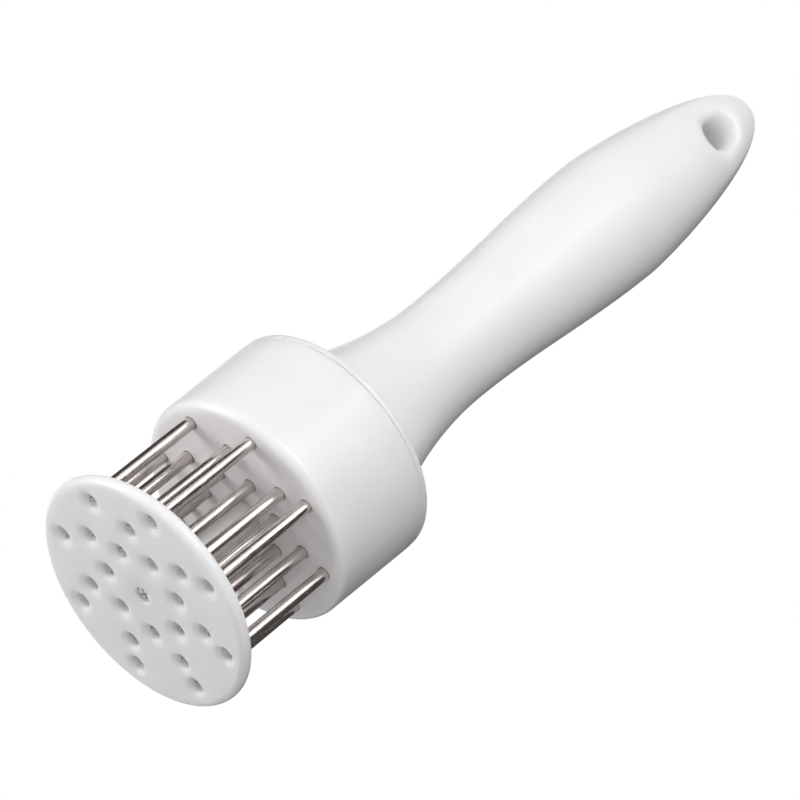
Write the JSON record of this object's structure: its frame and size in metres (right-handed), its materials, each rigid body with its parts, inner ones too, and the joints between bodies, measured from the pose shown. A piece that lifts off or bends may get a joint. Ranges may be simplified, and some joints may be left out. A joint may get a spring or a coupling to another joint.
{
  "type": "meat tenderizer",
  "caption": "Hand-held meat tenderizer: stainless needles in a round head, a sprung guard disc that slides up the needles, and a waisted handle with a hanging hole.",
  "frame": {"origin": "centre of the guard disc's outer face, which the tool stands on", "axes": "+Z along the tool's axis, from the guard disc to the handle's tip; X along the needle pattern's mirror line; the hanging hole runs 14 degrees off Y"},
  "size_m": [0.0552, 0.0552, 0.2],
  "materials": {
    "disc_plastic": "satin white moulding",
    "cup_plastic": "satin white moulding",
    "handle_plastic": "satin white moulding",
    "post_plastic": "white, slightly waxy",
    "plate_plastic": "natural, unpolished",
    "needle_steel": "polished stainless",
    "screw_steel": "plain zinc",
    "spring_steel": "drawn wire"
  },
  "bodies": {
    "tool": {"handle": "handle_plastic", "head_cup": "cup_plastic", "needle_plate": "plate_plastic", "plate_screws": "screw_steel", "return_spring": "spring_steel", "needle_inner_1": "needle_steel", "needle_inner_2": "needle_steel", "needle_inner_3": "needle_steel", "needle_inner_4": "needle_steel", "needle_inner_5": "needle_steel", "needle_inner_6": "needle_steel", "needle_inner_7": "needle_steel", "needle_middle_1": "needle_steel", "needle_middle_2": "needle_steel", "needle_middle_3": "needle_steel", "needle_middle_4": "needle_steel", "needle_middle_5": "needle_steel", "needle_middle_6": "needle_steel", "needle_middle_7": "needle_steel", "needle_outer_1": "needle_steel", "needle_outer_2": "needle_steel", "needle_outer_3": "needle_steel", "needle_outer_4": "needle_steel", "needle_outer_5": "needle_steel", "needle_outer_6": "needle_steel", "needle_outer_7": "needle_steel", "needle_outer_8": "needle_steel"},
    "guard": {"guard_disc": "disc_plastic", "guide_post": "post_plastic", "guard_screw": "screw_steel"}
  },
  "joints": [
    {"name": "guard_slide", "type": "slide", "parent": "tool", "child": "guard", "axis": [0, 0, 1], "range_m": [0, 0.024], "stiffness_N_per_m": 900, "springref_m": -0.008, "deforming": ["return_spring"]}
  ]
}
